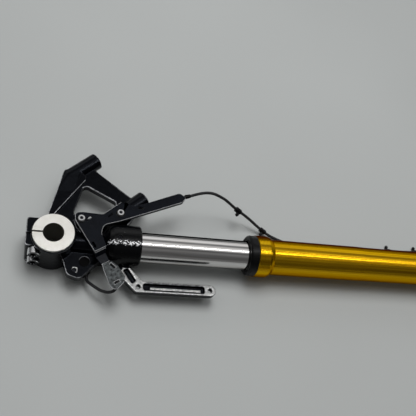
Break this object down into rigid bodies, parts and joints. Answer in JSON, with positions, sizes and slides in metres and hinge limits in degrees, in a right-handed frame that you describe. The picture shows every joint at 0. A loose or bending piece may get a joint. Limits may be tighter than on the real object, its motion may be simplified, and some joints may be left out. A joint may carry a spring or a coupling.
{
  "type": "inverted suspension fork leg",
  "caption": "Inverted telescopic fork leg with a split axle clamp, radial caliper bracket, mudguard arm, cartridge damper and wheel speed lead.",
  "frame": {"origin": "where the wheel axle's line crosses the leg's centre line", "axes": "+X up the leg from the axle to the top cap, +Y towards the brake caliper, +Z along the axle, away from the surface that the leg lies on"},
  "size_m": [0.8023, 0.2188, 0.0647],
  "materials": {
    "black_casting": "gloss black paint over a sand casting",
    "machined_aluminium": "turned, clear anodised",
    "zinc_steel": "bright zinc plate",
    "hard_chrome": "ground and hard chromed",
    "black_oxide_steel": "black oxide",
    "copper": "soft copper",
    "plain_aluminium": "turned",
    "bearing_bronze": "bronze with a bearing coat",
    "guide_plastic": "moulded, satin",
    "guide_sheet": "satin powder coat",
    "sensor_plastic": "moulded",
    "lead_jacket": "extruded jacket",
    "spring_steel": "shot-peened",
    "gold_anodised": "gold anodised over fine turning",
    "seal_rubber": "moulded nitrile",
    "black_anodised": "black anodised",
    "gold_adjuster": "gold anodised",
    "red_adjuster": "red anodised",
    "polished_rod": "polished",
    "ptfe_band": "filled PTFE"
  },
  "bodies": {
    "lower_leg": {"fork_bottom": "black_casting", "axle_collar": "machined_aluminium", "pinch_bolts": "zinc_steel", "inner_tube": "hard_chrome", "tube_lock_screw": "black_oxide_steel", "centre_bolt": "black_oxide_steel", "centre_bolt_washer": "copper", "cartridge_tube": "plain_aluminium", "base_valve": "bearing_bronze", "rod_guide": "plain_aluminium", "rod_guide_bush": "bearing_bronze", "inner_bush": "bearing_bronze", "lead_guide": "guide_plastic", "guide_tail": "guide_sheet", "guide_screws": "zinc_steel", "guide_posts": "plain_aluminium", "speed_sensor": "sensor_plastic", "sensor_screw": "zinc_steel", "sensor_lead": "lead_jacket", "spring_seat": "guide_plastic", "main_spring": "spring_steel", "lead_grommet": "lead_jacket", "sensor_cable": "lead_jacket", "cable_clips": "sensor_plastic", "cable_hank": "lead_jacket", "hank_tie": "lead_jacket", "cable_plug": "sensor_plastic"},
    "outer_leg": {"outer_tube": "gold_anodised", "dust_seal": "seal_rubber", "seal_clip": "spring_steel", "oil_seal": "seal_rubber", "seal_washer": "spring_steel", "outer_bush": "bearing_bronze", "top_cap": "black_anodised", "cap_o_ring": "seal_rubber", "damper_rod": "polished_rod", "damper_piston": "bearing_bronze", "piston_ring": "ptfe_band", "topout_spring": "spring_steel", "rod_lock_nut": "black_oxide_steel", "spring_spacer": "plain_aluminium", "spacer_washer": "plain_aluminium", "needle_rod": "spring_steel"},
    "preload_nut": {"preload_adjuster": "gold_adjuster"},
    "rebound_screw": {"rebound_adjuster": "red_adjuster"}
  },
  "joints": [
    {"name": "fork_travel", "type": "slide", "parent": "lower_leg", "child": "outer_leg", "axis": [-1, 0, 0], "range_m": [0, 0.125], "stiffness_N_per_m": 6000, "springref_m": -0.012, "deforming": ["main_spring"]},
    {"name": "preload_turn", "type": "hinge", "parent": "outer_leg", "child": "preload_nut", "pos_m": [0.75, 0, 0], "axis": [1, 0, 0], "range_deg": [-540, 540]},
    {"name": "rebound_turn", "type": "hinge", "parent": "preload_nut", "child": "rebound_screw", "pos_m": [0.76, 0, 0], "axis": [1, 0, 0], "range_deg": [-360, 360]}
  ]
}
